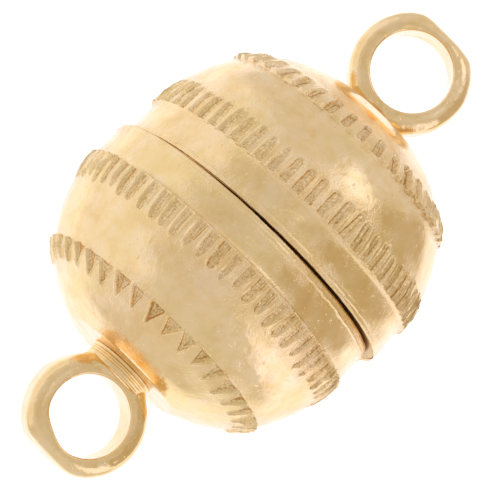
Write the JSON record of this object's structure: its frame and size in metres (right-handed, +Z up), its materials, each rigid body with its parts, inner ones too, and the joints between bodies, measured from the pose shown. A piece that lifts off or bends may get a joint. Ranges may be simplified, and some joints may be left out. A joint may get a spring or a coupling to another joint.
{
  "type": "magnetic clasp",
  "caption": "Round magnetic jewellery clasp lying closed: two hollow half shells with milled bands, inner disc magnets and a closed loop on each pole.",
  "frame": {"origin": "on the surface that the clasp lies on, under the middle of its box", "axes": "+X along the clasp's axis towards the plug half, +Z up, along the axis of the plug half's loop hole"},
  "size_m": [0.0176, 0.0104, 0.0101],
  "materials": {
    "gold": "polished gold plating, faintly mottled, with fine scratches",
    "nickel": "bright nickel plating"
  },
  "bodies": {
    "socket_half": {"socket_shell": "gold", "socket_plate": "gold", "socket_magnet": "nickel", "socket_loop": "gold"},
    "plug_half": {"plug_shell": "gold", "plug_plate": "gold", "plug_magnet": "nickel", "plug_loop": "gold"}
  },
  "joints": [
    {"name": "pull_apart", "type": "slide", "parent": "socket_half", "child": "plug_half", "axis": [1, 0, 0], "range_m": [0, 0.01]}
  ]
}
